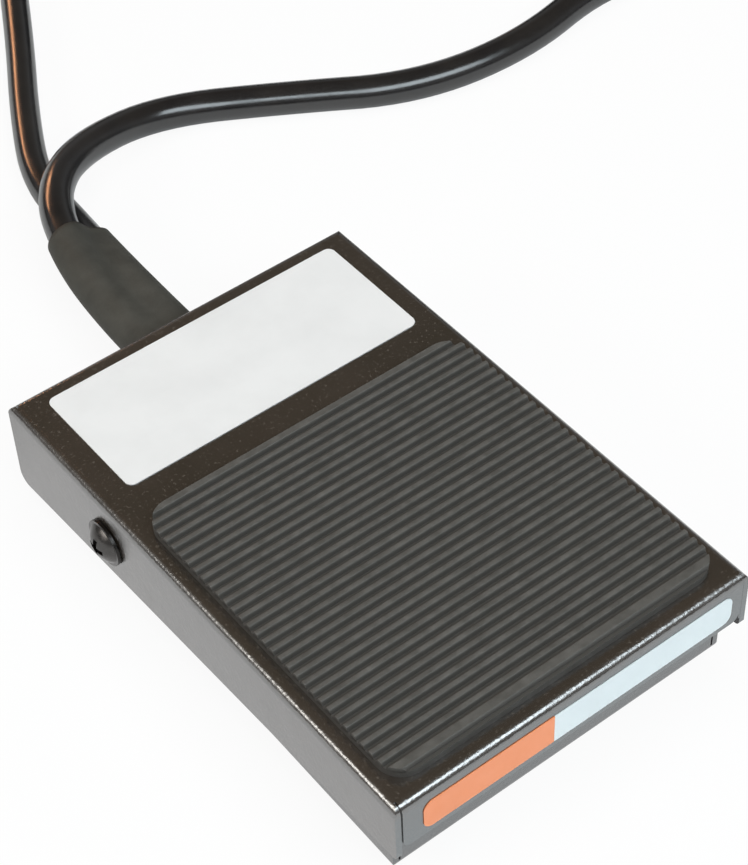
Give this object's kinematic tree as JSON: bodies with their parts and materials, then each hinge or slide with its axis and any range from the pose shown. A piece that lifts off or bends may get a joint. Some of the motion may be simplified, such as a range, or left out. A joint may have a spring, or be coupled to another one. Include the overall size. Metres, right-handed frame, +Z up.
{
  "type": "industrial foot switch",
  "caption": "Compact sheet-steel foot switch: a hinged treadle with a ribbed rubber mat on a folded base, with a supply lead and a load lead out of one sleeve.",
  "frame": {"origin": "on the floor under the middle of the resting treadle, measured without the leads", "axes": "+Y from the toe end to the cord end along the treadle's length, +Z up out of the tread, +X to the right seen from the toe end"},
  "size_m": [0.2971, 0.3281, 0.037],
  "materials": {
    "treadle_paint": "fine-textured semi-gloss dark brown-black paint",
    "base_paint": "semi-gloss dark grey paint",
    "mat_rubber": "matt ribbed rubber",
    "foot_rubber": "matt black rubber",
    "plate_white": "plain satin white film",
    "strip_orange": "plain orange film",
    "strip_white": "plain white film",
    "zinc_steel": "zinc plated",
    "dark_steel": "black zinc plated",
    "spring_steel": "bright spring wire",
    "switch_plastic": "black moulded thermoset",
    "switch_cover_plastic": "dark grey moulded thermoset",
    "plunger_plastic": "red moulded acetal",
    "brass": "plain brass",
    "pin_metal": "nickel-plated brass",
    "clamp_steel": "zinc plated sheet",
    "grommet_rubber": "black rubber",
    "pad_rubber": "grey rubber",
    "cord_jacket": "glossy black flexible sheath",
    "sleeve_plastic": "matt dark grey-brown shrink tube",
    "wire_brown": "brown insulation",
    "wire_blue": "blue insulation",
    "wire_earth": "green insulation with a yellow stripe",
    "cap_plastic": "pale nylon",
    "plug_plastic": "satin black moulded plug"
  },
  "bodies": {
    "base": {"base_pan": "base_paint", "foot_front_left": "foot_rubber", "foot_front_right": "foot_rubber", "foot_rear_left": "foot_rubber", "foot_rear_right": "foot_rubber", "hinge_screw_left": "dark_steel", "hinge_washer_left": "zinc_steel", "hinge_nut_left": "zinc_steel", "hinge_screw_right": "dark_steel", "hinge_washer_right": "zinc_steel", "hinge_nut_right": "zinc_steel", "spring_peg": "zinc_steel", "return_spring": "spring_steel", "switch_case": "switch_plastic", "switch_cover": "switch_cover_plastic", "lever_pin": "zinc_steel", "switch_terminals": "brass", "switch_bracket": "clamp_steel", "switch_screws": "zinc_steel", "switch_nuts": "zinc_steel", "bracket_screws": "zinc_steel", "cord_grommet": "grommet_rubber", "cord_clamp": "clamp_steel", "clamp_pad": "pad_rubber", "clamp_screws": "zinc_steel", "earth_lugs": "brass", "earth_screw": "zinc_steel", "crimp_terminals": "brass", "splice_cap": "cap_plastic", "line_wire_in": "wire_brown", "line_wire_out": "wire_brown", "neutral_wire_in": "wire_blue", "neutral_wire_out": "wire_blue", "earth_wire_in": "wire_earth", "earth_wire_out": "wire_earth", "supply_cord": "cord_jacket", "load_cord": "cord_jacket", "shrink_sleeve": "sleeve_plastic", "supply_coil": "cord_jacket", "load_coil": "cord_jacket", "supply_cord_tail": "cord_jacket", "load_cord_tail": "cord_jacket", "supply_plug_relief": "plug_plastic", "supply_plug": "plug_plastic", "supply_plug_pins": "pin_metal", "load_connector_relief": "plug_plastic", "load_connector": "plug_plastic"},
    "treadle": {"treadle_cover": "treadle_paint", "tread_mat": "mat_rubber", "rating_plate": "plate_white", "front_strip_left": "strip_orange", "front_strip_right": "strip_white", "striker": "zinc_steel", "spring_cup": "zinc_steel"},
    "lever": {"switch_lever": "spring_steel"},
    "plunger": {"switch_plunger": "plunger_plastic"}
  },
  "joints": [
    {"name": "treadle_hinge", "type": "hinge", "parent": "base", "child": "treadle", "pos_m": [0, 0.0261, 0.01475], "axis": [1, 0, 0], "range_deg": [0, 2], "stiffness_Nm_per_rad": 6, "springref_deg": -3.44, "deforming": ["return_spring"]},
    {"name": "lever_hinge", "type": "hinge", "parent": "base", "child": "lever", "pos_m": [0.01, 0.0188, 0.0215], "axis": [1, 0, 0], "range_deg": [0, 2.8]},
    {"name": "plunger_slide", "type": "slide", "parent": "base", "child": "plunger", "axis": [0, 0, 1], "range_m": [-0.0004, 0]}
  ],
  "couplings": [
    {"joint": "lever_hinge", "follows": "treadle_hinge", "ratio": 1.3614},
    {"joint": "plunger_slide", "follows": "treadle_hinge", "m_per_rad": -0.01048}
  ]
}
